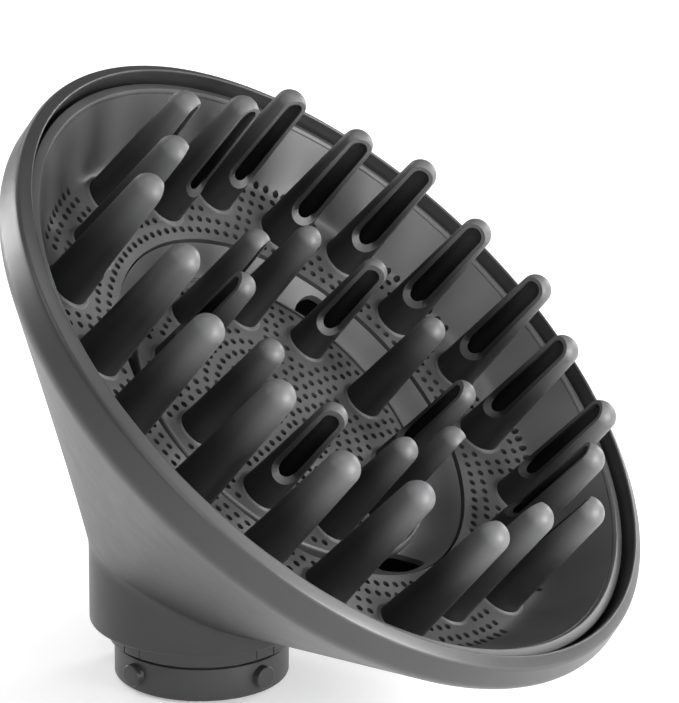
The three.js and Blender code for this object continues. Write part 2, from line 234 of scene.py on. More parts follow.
def satin_plastic(name, colour, roughness, grain=0.25, mottle=0.12, specular=0.5, painted_tip_light=None):
    """Moulded plastic: a fine spark-eroded grain, faint flow mottling and slightly uneven gloss.

    For the prongs' soft-touch plastic the last argument is (low h, high h, tip colour): painted
    shade low down that mixes into a painted highlight at the tip.
    """
    material = bpy.data.materials.new(name)
    material.use_nodes = True
    nodes, links = material.node_tree.nodes, material.node_tree.links
    shader = nodes["Principled BSDF"]
    shader.inputs["Specular IOR Level"].default_value = specular
    place = nodes.new("ShaderNodeTexCoord")

    broad = nodes.new("ShaderNodeTexNoise")
    broad.inputs["Scale"].default_value = 60.0
    broad.inputs["Detail"].default_value = 4.0
    links.new(place.outputs["Object"], broad.inputs["Vector"])
    shade = nodes.new("ShaderNodeValToRGB")
    low = tuple(c * (1 - mottle) for c in colour) + (1.0,)
    high = tuple(c * (1 + mottle) for c in colour) + (1.0,)
    shade.color_ramp.elements[0].position = 0.3
    shade.color_ramp.elements[0].color = low
    shade.color_ramp.elements[1].position = 0.7
    shade.color_ramp.elements[1].color = high
    links.new(broad.outputs["Fac"], shade.inputs["Fac"])
    if painted_tip_light is None:
        links.new(shade.outputs["Color"], shader.inputs["Base Color"])
    else:
        links.new(mix_painted_tip_light(nodes, links, place, shade, painted_tip_light), shader.inputs["Base Color"])

    gloss = nodes.new("ShaderNodeMapRange")
    gloss.inputs["To Min"].default_value = roughness - GLOSS_SPREAD
    gloss.inputs["To Max"].default_value = roughness + GLOSS_SPREAD
    patch = nodes.new("ShaderNodeTexNoise")
    patch.inputs["Scale"].default_value = 240.0
    patch.inputs["Detail"].default_value = 3.0
    links.new(place.outputs["Object"], patch.inputs["Vector"])
    links.new(patch.outputs["Fac"], gloss.inputs["Value"])
    links.new(gloss.outputs["Result"], shader.inputs["Roughness"])

    fine = nodes.new("ShaderNodeTexNoise")
    fine.inputs["Scale"].default_value = 4200.0
    fine.inputs["Detail"].default_value = 2.0
    links.new(place.outputs["Object"], fine.inputs["Vector"])
    bump = nodes.new("ShaderNodeBump")
    bump.inputs["Strength"].default_value = grain
    bump.inputs["Distance"].default_value = 0.02 * MM
    links.new(fine.outputs["Fac"], bump.inputs["Height"])
    links.new(bump.outputs["Normal"], shader.inputs["Normal"])
    return material


def plated_steel(name):
    """Zinc-plated screws: a brushed, slightly blotchy metal."""
    material = bpy.data.materials.new(name)
    material.use_nodes = True
    nodes, links = material.node_tree.nodes, material.node_tree.links
    shader = nodes["Principled BSDF"]
    shader.inputs["Metallic"].default_value = 1.0
    place = nodes.new("ShaderNodeTexCoord")
    blotch = nodes.new("ShaderNodeTexNoise")
    blotch.inputs["Scale"].default_value = 900.0
    links.new(place.outputs["Object"], blotch.inputs["Vector"])
    shade = nodes.new("ShaderNodeValToRGB")
    shade.color_ramp.elements[0].color = (0.45, 0.46, 0.47, 1)
    shade.color_ramp.elements[1].color = (0.68, 0.69, 0.7, 1)
    links.new(blotch.outputs["Fac"], shade.inputs["Fac"])
    links.new(shade.outputs["Color"], shader.inputs["Base Color"])
    gloss = nodes.new("ShaderNodeMapRange")
    gloss.inputs["To Min"].default_value = 0.25
    gloss.inputs["To Max"].default_value = 0.45
    links.new(blotch.outputs["Fac"], gloss.inputs["Value"])
    links.new(gloss.outputs["Result"], shader.inputs["Roughness"])
    return material


SHELL = satin_plastic("shell_satin_grey", (0.021, 0.021, 0.0217), 0.40)
PLATE = satin_plastic("plate_satin_grey", (0.036, 0.036, 0.037), 0.46)
# The lip is the plate's plastic, glossier, and lighter as a painted highlight.
LIP_GLOSS_AND_PAINTED_HIGHLIGHT = satin_plastic("lip_gloss_and_painted_highlight_grey", (0.055, 0.055, 0.056), 0.31, grain=0.15)
CONNECTOR = satin_plastic("connector_satin_grey", (0.030, 0.030, 0.031), 0.40)
# Prong colour at the foot and at the tip: painted shade low on the prong, a painted highlight at
# the tip.
PRONG_COLOUR = (0.007, 0.007, 0.0072)
PAINTED_TIP_LIGHT_COLOUR = (0.077, 0.077, 0.079)
OUTER_PRONG_SKIN = satin_plastic(
    "outer_prong_charcoal", PRONG_COLOUR, 0.48, grain=0.2, painted_tip_light=(-2.0, 18.0, PAINTED_TIP_LIGHT_COLOUR))
INNER_PRONG_SKIN = satin_plastic(
    "inner_prong_charcoal", PRONG_COLOUR, 0.48, grain=0.2, painted_tip_light=(-6.0, 10.0, PAINTED_TIP_LIGHT_COLOUR))
DARK_COLOUR = (0.012, 0.012, 0.0125)
HIDDEN = satin_plastic("hidden_dark_plastic", DARK_COLOUR, 0.6, grain=0.4, specular=0.3)
SILICONE = satin_plastic("black_silicone", (0.012, 0.012, 0.012), 0.7, grain=0.5, mottle=0.2)
# Near-black painted shade for the walls of air holes, prong hollows and the spigot's groove.
PAINTED_SHADE_WALL = satin_plastic("unlit_dark_wall", (0.004, 0.004, 0.004), 0.8, grain=0.3, specular=0.1)
# Dark painted shade for the shell's inside, below the rim's crest.
SHELL_INSIDE_SHADE = satin_plastic("shell_inside_painted_shade", DARK_COLOUR, 0.6, grain=0.4, specular=0.25)
STEEL = plated_steel("zinc_plated_steel")


# ---- mesh helpers ----

SLIVER = 0.004 * MM                    # edges shorter than this are dissolved


def finish_piece(name, mesh, material, replaced, sharp=35.0, inside=None):
    """Links a mesh as a piece that rides on the part and stands for its CAD nodes."""
    mesh.materials.clear()
    mesh.materials.append(material)
    if inside:
        mesh.materials.append(inside)
    mesh.shade_smooth()
    mesh.set_sharp_from_angle(angle=math.radians(sharp))
    obj = bpy.data.objects.new(name, mesh)
    bpy.context.scene.collection.objects.link(obj)
    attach(obj, BODY)
    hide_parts(*replaced)
    return obj


def mesh_from(bm, name):
    """A mesh of a bmesh, which is used up, with its faces turned outwards."""
    bmesh.ops.recalc_face_normals(bm, faces=bm.faces)
    mesh = bpy.data.meshes.new(name)
    bm.to_mesh(mesh)
    bm.free()
    return mesh


def scratch(mesh, name):
    """A temporary object for a boolean."""
    obj = bpy.data.objects.new(name, mesh)
    bpy.context.scene.collection.objects.link(obj)
    return obj


def discard(*objects):
    """Removes temporary objects with their meshes."""
    for obj in objects:
        mesh = obj.data
        bpy.data.objects.remove(obj)
        bpy.data.meshes.remove(mesh)


def baked(obj, name):
    """The object's mesh with its modifiers applied."""
    graph = bpy.context.evaluated_depsgraph_get()
    mesh = bpy.data.meshes.new_from_object(obj.evaluated_get(graph))
    mesh.name = name
    return mesh


def clear_slivers(mesh):
    """Removes the edges and faces of no size that booleans and bevels leave."""
    bm = bmesh.new()
    bm.from_mesh(mesh)
    bmesh.ops.dissolve_degenerate(bm, dist=SLIVER, edges=bm.edges)
    bm.to_mesh(mesh)
    bm.free()


def combined(base, tools, operation, name):
    """Mesh of a base object after exact booleans with the tool objects; all of them are used up."""
    for tool in tools:
        step = base.modifiers.new("cut", "BOOLEAN")
        step.operation = operation
        step.solver = "EXACT"
        step.object = tool
    mesh = baked(base, name)
    discard(base, *tools)
    return mesh


def rounded(mesh, name, width, angle):
    """The mesh, used up, with its edges over an angle in degrees rounded."""
    obj = scratch(mesh, name + "_edges")
    bevel = obj.modifiers.new("edges", "BEVEL")
    bevel.width = width * MM
    bevel.segments = 2
    bevel.limit_method = "ANGLE"
    bevel.angle_limit = math.radians(angle)
    result = baked(obj, name)
    discard(obj)
    clear_slivers(result)
    return result


def strip_between(bm, ring_a, ring_b):
    """Adds and returns the quads between two rings of vertices of the same length."""
    count = len(ring_a)
    faces = []
    for i in range(count):
        j = (i + 1) % count
        faces.append(bm.faces.new((ring_a[i], ring_a[j], ring_b[j], ring_b[i])))
    return faces


def round_at(bm, r, h, sides):
    """A ring of new vertices about Z."""
    angles = [TURN * i / sides for i in range(sides)]
    return [bm.verts.new((r * MM * math.cos(a), r * MM * math.sin(a), h * MM)) for a in angles]


def turned(points, sides):
    """A closed ring turned about Z from [r, h] points in millimetres, or a solid where r is 0."""
    bm = bmesh.new()
    rings = []
    for r, h in points:
        if r == 0:
            rings.append([bm.verts.new((0, 0, h * MM))])
        else:
            rings.append(round_at(bm, r, h, sides))
    pairs = list(zip(rings, rings[1:]))
    if len(rings[0]) > 1:
        pairs.append((rings[-1], rings[0]))
    for a, b in pairs:
        if len(a) == 1:
            for i in range(sides):
                bm.faces.new((a[0], b[i], b[(i + 1) % sides]))
        elif len(b) == 1:
            for i in range(sides):
                bm.faces.new((a[i], a[(i + 1) % sides], b[0]))
        else:
            strip_between(bm, a, b)
    return bm


def arc_points(centre, radius, start, end, steps):
    """Points on an arc in an outline, angles in degrees."""
    cx, cy = centre
    out = []
    for i in range(steps + 1):
        a = math.radians(start + (end - start) * i / steps)
        out.append((cx + radius * math.cos(a), cy + radius * math.sin(a)))
    return out


# ---- outer shell ----

def crease_height(x):
    """Height on the neck where the funnel leaves it, in millimetres."""
    return CREASE[0] + CREASE[1] * x + CREASE[2] * x * x


def neck_point(radius, height, a):
    """A point at an angle round the neck; height may be a function of x."""
    x = radius * math.cos(a)
    z = height(x) if callable(height) else height
    return Vector((x, radius * math.sin(a), z)) * MM


def rim_point(radius, height, a, shift=0.0):
    """A point of the bowl's frame, shifted to the lean side."""
    local = Vector((radius * math.cos(a) + shift, radius * math.sin(a), height)) * MM
    return BOWL @ local


def bezier(p0, p1, p2, t):
    """A point on the curve from p0 to p2 that is drawn towards p1."""
    return p0 * (1 - t) ** 2 + p1 * 2 * t * (1 - t) + p2 * t * t


def shell_column(a):
    """The shell's outline at one angle, from the lower end up the outside and down the inside."""
    crease_z = crease_height(NECK_R * math.cos(a))
    crease = neck_point(NECK_R, crease_z, a)
    raised = BAND_RISE * (1 + math.cos(a)) / 2
    band_low = rim_point(BAND_R, BAND_H + raised, a, BAND_SHIFT)
    along = (band_low - crease).normalized()
    soft = min(CREASE_ROUND, 0.75 * (crease_z - NECK_Z - NECK_EDGE)) * MM
    below = crease - Vector((0, 0, soft))
    above = crease + along * soft

    out = [neck_point(LEDGE_BORE_R, LEDGE_Z, a), neck_point(SHOULDER_R, LEDGE_Z, a)]
    out.append(neck_point(SHOULDER_R, NECK_Z, a))
    for x, y in arc_points((NECK_R - NECK_EDGE, NECK_Z + NECK_EDGE), NECK_EDGE, -90, 0, 5):
        out.append(neck_point(x, y, a))
    foot = out[-1]
    for i in range(1, 4):
        out.append(foot.lerp(below, i / 4))
    for i in range(9):
        out.append(bezier(below, crease, above, i / 8))
    funnel_end = crease.lerp(band_low, FUNNEL_END)
    for i in range(1, 24):
        out.append(above.lerp(funnel_end, i / 24))
    side_low = SIDE_H + raised
    turn = rim_point(SIDE_R, side_low, a, SIDE_SHIFT)
    for i in range(7):
        out.append(bezier(funnel_end, band_low, turn, i / 6))
    for i in range(1, 6):
        t = i / 6
        side_h = side_low + (SIDE_TOP_H - side_low) * t
        out.append(rim_point(SIDE_R - SIDE_TAPER * t, side_h, a, SIDE_SHIFT * (1 - t)))
    for r, h in arc_points(*RIM_OUTER_ROUND, 5) + arc_points(*RIM_INNER_ROUND, 5):
        out.append(rim_point(r, h, a))
    out.append(rim_point(RIM_BORE_R, RIM_BORE_H, a))
    inner_top = rim_point(RIM_BORE_R, BAND_H, a)
    out.append(inner_top)
    inner_crease = neck_point(NECK_BORE_R, lambda x: crease_height(x) + INNER_CREASE_RISE, a)
    for i in range(1, 10):
        out.append(inner_top.lerp(inner_crease, i / 10))
    out.append(inner_crease)
    out.append(neck_point(NECK_BORE_R, LEDGE_TOP, a))
    out.append(neck_point(LEDGE_BORE_R, LEDGE_TOP, a))
    return out


def outer_shell():
    """The neck, funnel and rim in one moulding."""
    columns = [shell_column(TURN * i / SHELL_SIDES) for i in range(SHELL_SIDES)]
    bm = bmesh.new()
    rings = []
    for k in range(len(columns[0])):
        rings.append([bm.verts.new(column[k]) for column in columns])
    for k in range(len(rings)):
        for face in strip_between(bm, rings[k], rings[(k + 1) % len(rings)]):
            # The inside rows take the second material, dark painted shade.
            face.material_index = 1 if k >= len(rings) - INSIDE_ROWS else 0
    mesh = mesh_from(bm, "outer_shell_moulding")
    return finish_piece(
        "outer_shell_moulding", mesh, SHELL, ["outer_shell"], 50.0, inside=SHELL_INSIDE_SHADE)


# ---- perforated plates ----

OUTER_SPOTS = [(OUTER_CIRCLE[k % 2], PATTERN_ANGLE + OUTER_STEP * k) for k in range(OUTER_COUNT)]
INNER_SPOTS = [(INNER_CIRCLE, PATTERN_ANGLE + INNER_STEP * k) for k in range(INNER_COUNT)]


def flat(spot):
    """The flat point of a radius and an angle."""
    r, a = spot
    return Vector((r * math.cos(a), r * math.sin(a)))


def bowl_height(r):
    """Height of the bowl's upper face: a slightly conical floor that rounds up into the wall."""
    floor = FLOOR_EDGE_H + FLOOR_SLOPE * (r - FLOOR_EDGE_R)
    wall = WALL_SLOPE * (r - LIP_INNER_R)
    return 0.5 * (floor + wall + math.hypot(floor - wall, FLOOR_BLEND))


def collar_rise(point, spots, base_r):
    """The low bead that the plate carries round each prong."""
    nearest = min((point - flat(spot)).length for spot in spots)
    t = (nearest - base_r) / BEAD_WIDTH
    return BEAD_HEIGHT * math.cos(math.pi / 2 * max(t, 0.0)) ** 2 if t < 1 else 0.0


def circle(centre, radius, sides, start=0.0):
    """Flat points round a centre."""
    out = []
    for i in range(sides):
        a = start + TURN * i / sides
        out.append(centre + Vector((math.cos(a), math.sin(a))) * radius)
    return out


def row_of_holes(radius, offset):
    """Hole centres of one row in a tenth of the ring, mirrored about an outer prong's direction."""
    step = HOLE_PITCH / radius
    angles = []
    a = offset * step
    while a < SECTOR / 2 - 0.25 * step:
        angles.append(a)
        if a > 0:
            angles.append(-a)
        a += step
    return angles


def floor_holes():
    """Staggered rows that keep clear of the prongs' feet."""
    holes = []
    feet = [(flat(spot), FLOOR_CLEAR[k % 2]) for k, spot in enumerate(OUTER_SPOTS)]
    for row in range(FLOOR_ROWS):
        radius = min(FIRST_ROW_R + ROW_STEP * row, LAST_ROW_R)
        if row == 0:
            angles = [SECTOR * j / FIRST_ROW_COUNT for j in range(FIRST_ROW_COUNT)]
        else:
            angles = row_of_holes(radius, 0.5 * (row % 2))
        for sector in range(SECTOR_COUNT):
            middle = PATTERN_ANGLE + SECTOR * sector
            for a in angles:
                if row >= FULL_ROWS and abs(a) < OUTER_ROWS_FROM:
                    continue
                centre = flat((radius, middle + a))
                if all((centre - foot).length > clear for foot, clear in feet):
                    holes.append(centre)
    return holes


def centre_holes():
    """Concentric rows, each turned half a pitch from the last, clear of the inner prongs' feet."""
    holes = [Vector((0.0, 0.0))]
    feet = [flat(spot) for spot in INNER_SPOTS]
    for row in range(1, CENTRE_ROWS + 1):
        radius = CENTRE_ROW_STEP * row
        count = round(TURN * radius / HOLE_PITCH)
        for j in range(count):
            centre = flat((radius, TURN * (j + 0.5 * (row % 2)) / count))
            if all((centre - foot).length > CENTRE_CLEAR for foot in feet):
                holes.append(centre)
    return holes


def add_loop(points, edges, outline):
    """Adds a closed outline to the points and edges of a flat drawing."""
    first, count = len(points), len(outline)
    points.extend(outline)
    edges.extend((first + i, first + (i + 1) % count) for i in range(count))


def sheet(bm, points, edges, top, bottom, solid):
    """Adds the upper and lower faces of a plate wherever solid(flat point) holds in a drawing.

    Returns the flat points, the upper and lower vertices for each of them, and the open edges.
    """
    verts, _, faces, _, _, _ = delaunay_2d_cdt(points, edges, [], 0, WELD)
    upper = [bm.verts.new((v.x * MM, v.y * MM, top(v) * MM)) for v in verts]
    lower = [bm.verts.new((v.x * MM, v.y * MM, bottom(v) * MM)) for v in verts]
    directed = {}
    for face in faces:
        if solid(sum((verts[i] for i in face), Vector((0.0, 0.0))) / len(face)):
            bm.faces.new([upper[i] for i in face])
            bm.faces.new([lower[i] for i in reversed(face)])
            directed.update(dict.fromkeys(zip(face, face[1:] + face[:1])))
    used = {i for edge in directed for i in edge}
    for i in range(len(verts)):
        if i not in used:
            bm.verts.remove(upper[i])
            bm.verts.remove(lower[i])
    return verts, upper, lower, [(i, j) for i, j in directed if (j, i) not in directed]


RING_STEP = 0.75                       # between the rings of filling points in a plate
POINT_PITCH = 1.1                      # along a ring, except near the rim
NEAR_RIM = 5                           # closer to the rim, a ring has as many points as it
FOOT_RINGS = (0.12, 0.24, 0.36, 0.5, 0.8, 1.2)     # rings of points round a prong's hole
FOOT_MARGIN = 1.5
HOLE_MARGIN = 0.3


def pierced_sheet(bm, outer_r, inner_r, holes, spots, foot_r, top, bottom, rim_sides):
    """Adds a plate with air holes, and round holes of radius foot_r at the prongs' spots.

    top and bottom give its heights at a flat point. Returns the upper and lower vertices of the
    outer edge, in order, for a wall to join on to.
    """
    points, edges = [], []
    origin = Vector((0.0, 0.0))
    feet = [flat(spot) for spot in spots]
    add_loop(points, edges, circle(origin, outer_r, rim_sides))
    if inner_r:
        add_loop(points, edges, circle(origin, inner_r, rim_sides))
    for centre in holes:
        add_loop(points, edges, circle(centre, HOLE_R, HOLE_SIDES))
    for foot in feet:
        add_loop(points, edges, circle(foot, foot_r, PRONG_SIDES))
        for step in FOOT_RINGS:
            points.extend(circle(foot, foot_r + step, PRONG_SIDES, step))
    hole_tree = KDTree(len(holes))
    for i, centre in enumerate(holes):
        hole_tree.insert(centre.to_3d(), i)
    hole_tree.balance()

    def from_hole(p):
        return hole_tree.find(p.to_3d())[2]

    ring_count = int((outer_r - inner_r) / RING_STEP)
    for k in range(1, ring_count):
        radius = inner_r + (outer_r - inner_r) * k / ring_count
        sides = rim_sides
        if radius < outer_r - NEAR_RIM:
            sides = max(8, round(TURN * radius / POINT_PITCH))
        for p in circle(origin, radius, sides, 0.5 * (k % 2) * TURN / sides):
            if any((p - foot).length < foot_r + FOOT_MARGIN for foot in feet):
                continue
            if from_hole(p) > HOLE_R + HOLE_MARGIN:
                points.append(p)

    def solid(p):
        if not inner_r < p.length < outer_r:
            return False
        if any((p - foot).length < foot_r * 0.999 for foot in feet):
            return False
        return from_hole(p) >= HOLE_R * 0.999

    verts, upper, lower, border = sheet(bm, points, edges, top, bottom, solid)
    for i, j in border:
        if min(verts[i].length, verts[j].length) > outer_r - ON_RIM:
            continue
        side = bm.faces.new((upper[j], upper[i], lower[i], lower[j]))
        # The walls of the air holes take the second material, near-black painted shade.
        if from_hole((verts[i] + verts[j]) / 2) < HOLE_R * 1.01:
            side.material_index = 1
    rim = sorted(
        (i for i, _ in border if abs(verts[i].length - outer_r) < ON_RIM),
        key=lambda i: math.atan2(verts[i].y, verts[i].x) % TURN,
    )
    assert len(rim) == rim_sides, (len(rim), rim_sides)
    return [upper[i] for i in rim], [lower[i] for i in rim]


def close_rim(bm, upper, lower, profile):
    """Carries a sheet's outer edge round a profile of [r, h] points, from its top to its bottom."""
    previous = upper
    sides = len(upper)
    for r, h in profile:
        ring = []
        for i in range(sides):
            a = math.atan2(upper[i].co.y, upper[i].co.x)
            ring.append(bm.verts.new((r * MM * math.cos(a), r * MM * math.sin(a), h * MM)))
        strip_between(bm, previous, ring)
        previous = ring
    strip_between(bm, previous, lower)


WALL_LOW_R = 56.5                      # the perforated floor ends here, low on the wall's round
WALL_TOP_R = 61.38
WALL_STEPS = 8
LIP_FROM_R, LIP_FROM_H = 61.6, -0.7    # faces further out and up than this are the lip: glossier, and lighter as a painted highlight
LIP_FRONT = [(61.5, -0.6), (61.52, -0.47), (61.49, -0.45), (61.75, -0.0)]
LIP_BACK = [
    (63.4, -1.2), (61.6, -3.6), (59.6, -6.4), (59.5, -7.0), (61.6, -7.0),
    (61.9, -7.3), (61.2, -8.2), (60.9, -8.4), (57.3, -8.4), (57.3, -8.9),
]


def bowl():
    """The perforated ring, the sloped wall and the lip, with a foot behind that holds the seal."""
    bm = bmesh.new()

    def top(p):
        return bowl_height(p.length) + collar_rise(p, OUTER_SPOTS, OUTER_HOLE_R)

    def bottom(p):
        return bowl_height(p.length) - PLATE_THICKNESS

    upper, lower = pierced_sheet(
        bm, WALL_LOW_R, FLOOR_EDGE_R, floor_holes(), OUTER_SPOTS, OUTER_HOLE_R, top, bottom,
        BOWL_SIDES)
    profile = []
    for i in range(1, WALL_STEPS + 1):
        r = WALL_LOW_R + (WALL_TOP_R - WALL_LOW_R) * i / WALL_STEPS
        profile.append((r, bowl_height(r)))
    profile += LIP_FRONT
    profile += arc_points((61.97, 0.0), 0.12, 150, 75, 2)
    profile += arc_points((63.3, -0.42), 0.2, 75, 0, 3)
    profile += LIP_BACK
    close_rim(bm, upper, lower, profile)
    mesh = mesh_from(bm, "bowl_moulding")
    # The lip's faces take the third material, with its painted highlight.
    for face in mesh.polygons:
        x, y, z = face.center / MM
        if math.hypot(x, y) > LIP_FROM_R and z > LIP_FROM_H:
            face.material_index = 2
    mesh.transform(BOWL)
    obj = finish_piece("bowl_moulding", mesh, PLATE, ["bowl"], inside=PAINTED_SHADE_WALL)
    obj.data.materials.append(LIP_GLOSS_AND_PAINTED_HIGHLIGHT)
    return obj


def centre_plate():
    """The lower perforated disc, with a rounded edge."""
    bm = bmesh.new()

    def top(p):
        return CENTRE_H + collar_rise(p, INNER_SPOTS, INNER_HOLE_R)

    def bottom(p):
        return CENTRE_H - CENTRE_THICKNESS

    edge = CENTRE_R - 0.9
    upper, lower = pierced_sheet(
        bm, edge, 0.0, centre_holes(), INNER_SPOTS, INNER_HOLE_R, top, bottom, CENTRE_SIDES)
    profile = arc_points((CENTRE_R - 0.65, CENTRE_H - 0.2), 0.65, 110, 0, 8)
    profile += [(CENTRE_R, CENTRE_H - 1.1), (CENTRE_R - 0.3, CENTRE_H - CENTRE_THICKNESS)]
    close_rim(bm, upper, lower, profile)
    mesh = mesh_from(bm, "centre_plate_moulding")
    mesh.transform(BOWL)
    return finish_piece(
        "centre_plate_moulding", mesh, PLATE, ["centre_plate"], inside=PAINTED_SHADE_WALL)


def near_window(p, middle, radius, reach):
    """True inside a curved slot with round ends."""
    a = (math.atan2(p.y, p.x) - middle + math.pi) % TURN - math.pi
    a = min(max(a, -WINDOW_HALF), WINDOW_HALF)
    return (p - flat((radius, middle + a))).length < reach


def window_outline(a, middle_r, end_r):
    """A curved slot with round ends: an end, then the side that leads to the other end, twice."""
    outline = []
    for side, run_r in ((1, WINDOW_R[0]), (-1, WINDOW_R[1])):
        end = flat((middle_r, a + side * WINDOW_HALF))
        facing = a + side * WINDOW_HALF + side * math.pi / 2
        for i in range(9):
            b = facing + math.pi / 2 * (1 - i / 4) * -side
            outline.append(end + Vector((math.cos(b), math.sin(b))) * end_r)
        for i in range(1, 12):
            outline.append(flat((run_r, a + side * WINDOW_HALF * (1 - i / 6))))
    return outline


def channel_ring():
    """The smooth ring that falls from the perforated floor to the centre plate, with windows."""
    inner_r, outer_r = CHANNEL_R
    middle_r = sum(WINDOW_R) / 2
    end_r = (WINDOW_R[1] - WINDOW_R[0]) / 2
    windows = [math.radians(degrees) for degrees in WINDOW_ANGLES]

    def top(p):
        t = min(max((outer_r - p.length) / (outer_r - CHANNEL_LEVEL_R), 0.0), 1.0)
        return CHANNEL_H - CHANNEL_DROP * math.sin(math.pi / 2 * t) ** CHANNEL_POWER

    def bottom(p):
        return top(p) - CHANNEL_THICKNESS

    def solid(p):
        if not inner_r < p.length < outer_r:
            return False
        return not any(near_window(p, a, middle_r, end_r - 0.001) for a in windows)

    points, edges = [], []
    origin = Vector((0.0, 0.0))
    add_loop(points, edges, circle(origin, outer_r, BOWL_SIDES))
    add_loop(points, edges, circle(origin, inner_r, BOWL_SIDES))
    for a in windows:
        add_loop(points, edges, window_outline(a, middle_r, end_r))
    for k in range(1, CHANNEL_RINGS):
        r = inner_r + (outer_r - inner_r) * k / CHANNEL_RINGS
        for p in circle(origin, r, BOWL_SIDES, k * 0.5):
            if not any(near_window(p, a, middle_r, end_r + 0.25) for a in windows):
                points.append(p)
    bm = bmesh.new()
    _, upper, lower, border = sheet(bm, points, edges, top, bottom, solid)
    for i, j in border:
        bm.faces.new((upper[j], upper[i], lower[i], lower[j]))
    mesh = mesh_from(bm, "channel_ring_moulding")
    mesh.transform(BOWL)
    return finish_piece("channel_ring_moulding", mesh, PLATE, ["channel_ring"])


# ---- prongs ----

OUTER_PRONG = {
    "base": 4.1, "tip": 2.95, "top": 15.3, "bottom": -15.4, "flange_r": 4.8, "flange_t": 0.9,
    "wall": 1.1, "slot_half": 1.85, "slot_low": -2.8, "slot_high": 12.5, "face": 1.42,
}
INNER_PRONG = {
    "base": 3.7, "tip": 2.6, "top": 6.0, "bottom": -19.8, "flange_r": 4.5, "flange_t": 1.3,
    "wall": 1.0, "slot_half": 1.58, "slot_low": -8.0, "slot_high": 3.3, "face": 1.35,
}


def prong_outline(foot, spec, shoulder):
    """The outside: a flange below the plate, a straight foot, a slightly concave taper, a dome."""
    base, tip, bottom = spec["base"], spec["tip"], spec["bottom"]
    flange_r, flange_top = spec["flange_r"], bottom + spec["flange_t"]
    outline = [(0, bottom + 0.01), (flange_r, bottom), (flange_r, flange_top), (base, flange_top)]
    outline.append((base, foot + FOOT_STRAIGHT))
    steps = 10
    for i in range(1, steps + 1):
        t = i / steps
        z = foot + FOOT_STRAIGHT + (shoulder - foot - FOOT_STRAIGHT) * t
        outline.append((base + (tip - base) * t ** TAPER_POWER, z))
    for i in range(1, 9):
        a = math.pi / 2 * i / 8
        r = tip * math.cos(a) if i < 8 else 0
        outline.append((r, shoulder + (spec["top"] - shoulder) * math.sin(a)))
    return outline


def prong_mesh(name, foot, spec):
    """A hollow tapered prong along +Z with its slot facing +X: base plate level at h = foot."""
    base, tip, wall, bottom = spec["base"], spec["tip"], spec["wall"], spec["bottom"]
    shoulder = spec["top"] - tip * TIP_FLATTEN
    body = turned(prong_outline(foot, spec, shoulder), PRONG_SIDES)

    cavity_top = shoulder - 0.2
    tip_r = tip - wall + HOLLOW_TIP_EXTRA
    cavity = [(0, bottom - 1), (base - wall, bottom - 1), (base - wall, foot), (tip_r, cavity_top)]
    for i in range(1, 6):
        a = math.pi / 2 * i / 5
        r = tip_r * math.cos(a)
        cavity.append((r if i < 5 else 0, cavity_top + (tip - wall) * math.sin(a)))

    meshes = {
        "body": mesh_from(body, name + "_body"),
        "hollow": mesh_from(turned(cavity, HOLLOW_SIDES), name + "_hollow"),
        "scoop": scoop_mesh(name + "_scoop", foot, spec, shoulder),
        "slot": slot_mesh(name + "_slot", spec),
    }
    solid, *tools = [scratch(mesh, f"{name}_{key}") for key, mesh in meshes.items()]
    mesh = combined(solid, tools, "DIFFERENCE", name)
    result = rounded(mesh, name, width=0.22, angle=32)
    paint_hollow_shade(result, (base - wall) * MM, tip_r * MM, foot * MM, cavity_top * MM)
    return result


def paint_hollow_shade(mesh, low_r, high_r, low_z, high_z):
    """Gives the walls of a prong's hollow the second material, near-black painted shade."""
    for face in mesh.polygons:
        x, y, z = face.center
        t = min(max((z - low_z) / (high_z - low_z), 0.0), 1.0)
        inward = face.normal.x * x + face.normal.y * y < 0
        if inward and math.hypot(x, y) < low_r + (high_r - low_r) * t + 0.02 * MM:
            face.material_index = 1


def face_depth(spec, foot, shoulder):
    """Distance of the flat slot face from the axis at the slot's lower end and at the shoulder."""
    rise = (spec["slot_low"] - foot) / (shoulder - foot)
    low_r = spec["base"] + (spec["tip"] - spec["base"]) * rise
    return low_r - spec["face"], spec["tip"] - spec["face"] * SLOT_TAPER


def scoop_mesh(name, foot, spec, shoulder):
    """Cuts the flat that the slot lies in, which climbs like a dish round the slot's lower end."""
    low_x, high_x = face_depth(spec, foot, shoulder)
    low, half = spec["slot_low"], spec["slot_half"]
    top_z = spec["top"] + CUTTER_ABOVE
    grade = (high_x - low_x) / (shoulder - low)
    top_x = low_x + grade * (top_z - low)
    bm = bmesh.new()

    def ring(radius, climb, flat_top):
        points = []
        for i in range(DISH_STEPS + 1):
            a = math.pi * (i / DISH_STEPS - 0.5)
            x = low_x + climb * math.cos(a) ** 2
            points.append((x, radius * math.sin(a), low - radius * math.cos(a)))
        points.append((flat_top, radius, top_z))
        points.append((flat_top, -radius, top_z))
        return [bm.verts.new(Vector(p) * MM) for p in points]

    inner = ring(half, 0.0, top_x)
    outer = ring(half + DISH_REACH, DISH_REACH * CLIMB, top_x)
    cap = [bm.verts.new((CUTTER_X * MM, v.co.y, v.co.z)) for v in outer]
    strip_between(bm, inner, outer)
    strip_between(bm, outer, cap)
    bm.faces.new(inner)
    bm.faces.new(cap)
    bmesh.ops.triangulate(bm, faces=bm.faces)
    return mesh_from(bm, name)


def slot_mesh(name, spec):
    """The slot itself: a long hole with round ends from the hollow out through the flat."""
    half = spec["slot_half"]
    low, high = spec["slot_low"], spec["slot_high"]
    outline = arc_points((0, low), half, 180, 360, 12)
    outline += arc_points((0, high), half * SLOT_TAPER, 0, 180, 12)
    bm = bmesh.new()
    rings = []
    for x in (0.0, SLOT_CUTTER_X):
        rings.append([bm.verts.new(Vector((x, y, z)) * MM) for y, z in outline])
    strip_between(bm, rings[0], rings[1])
    bm.faces.new(rings[0])
    bm.faces.new(rings[1])
    return mesh_from(bm, name)


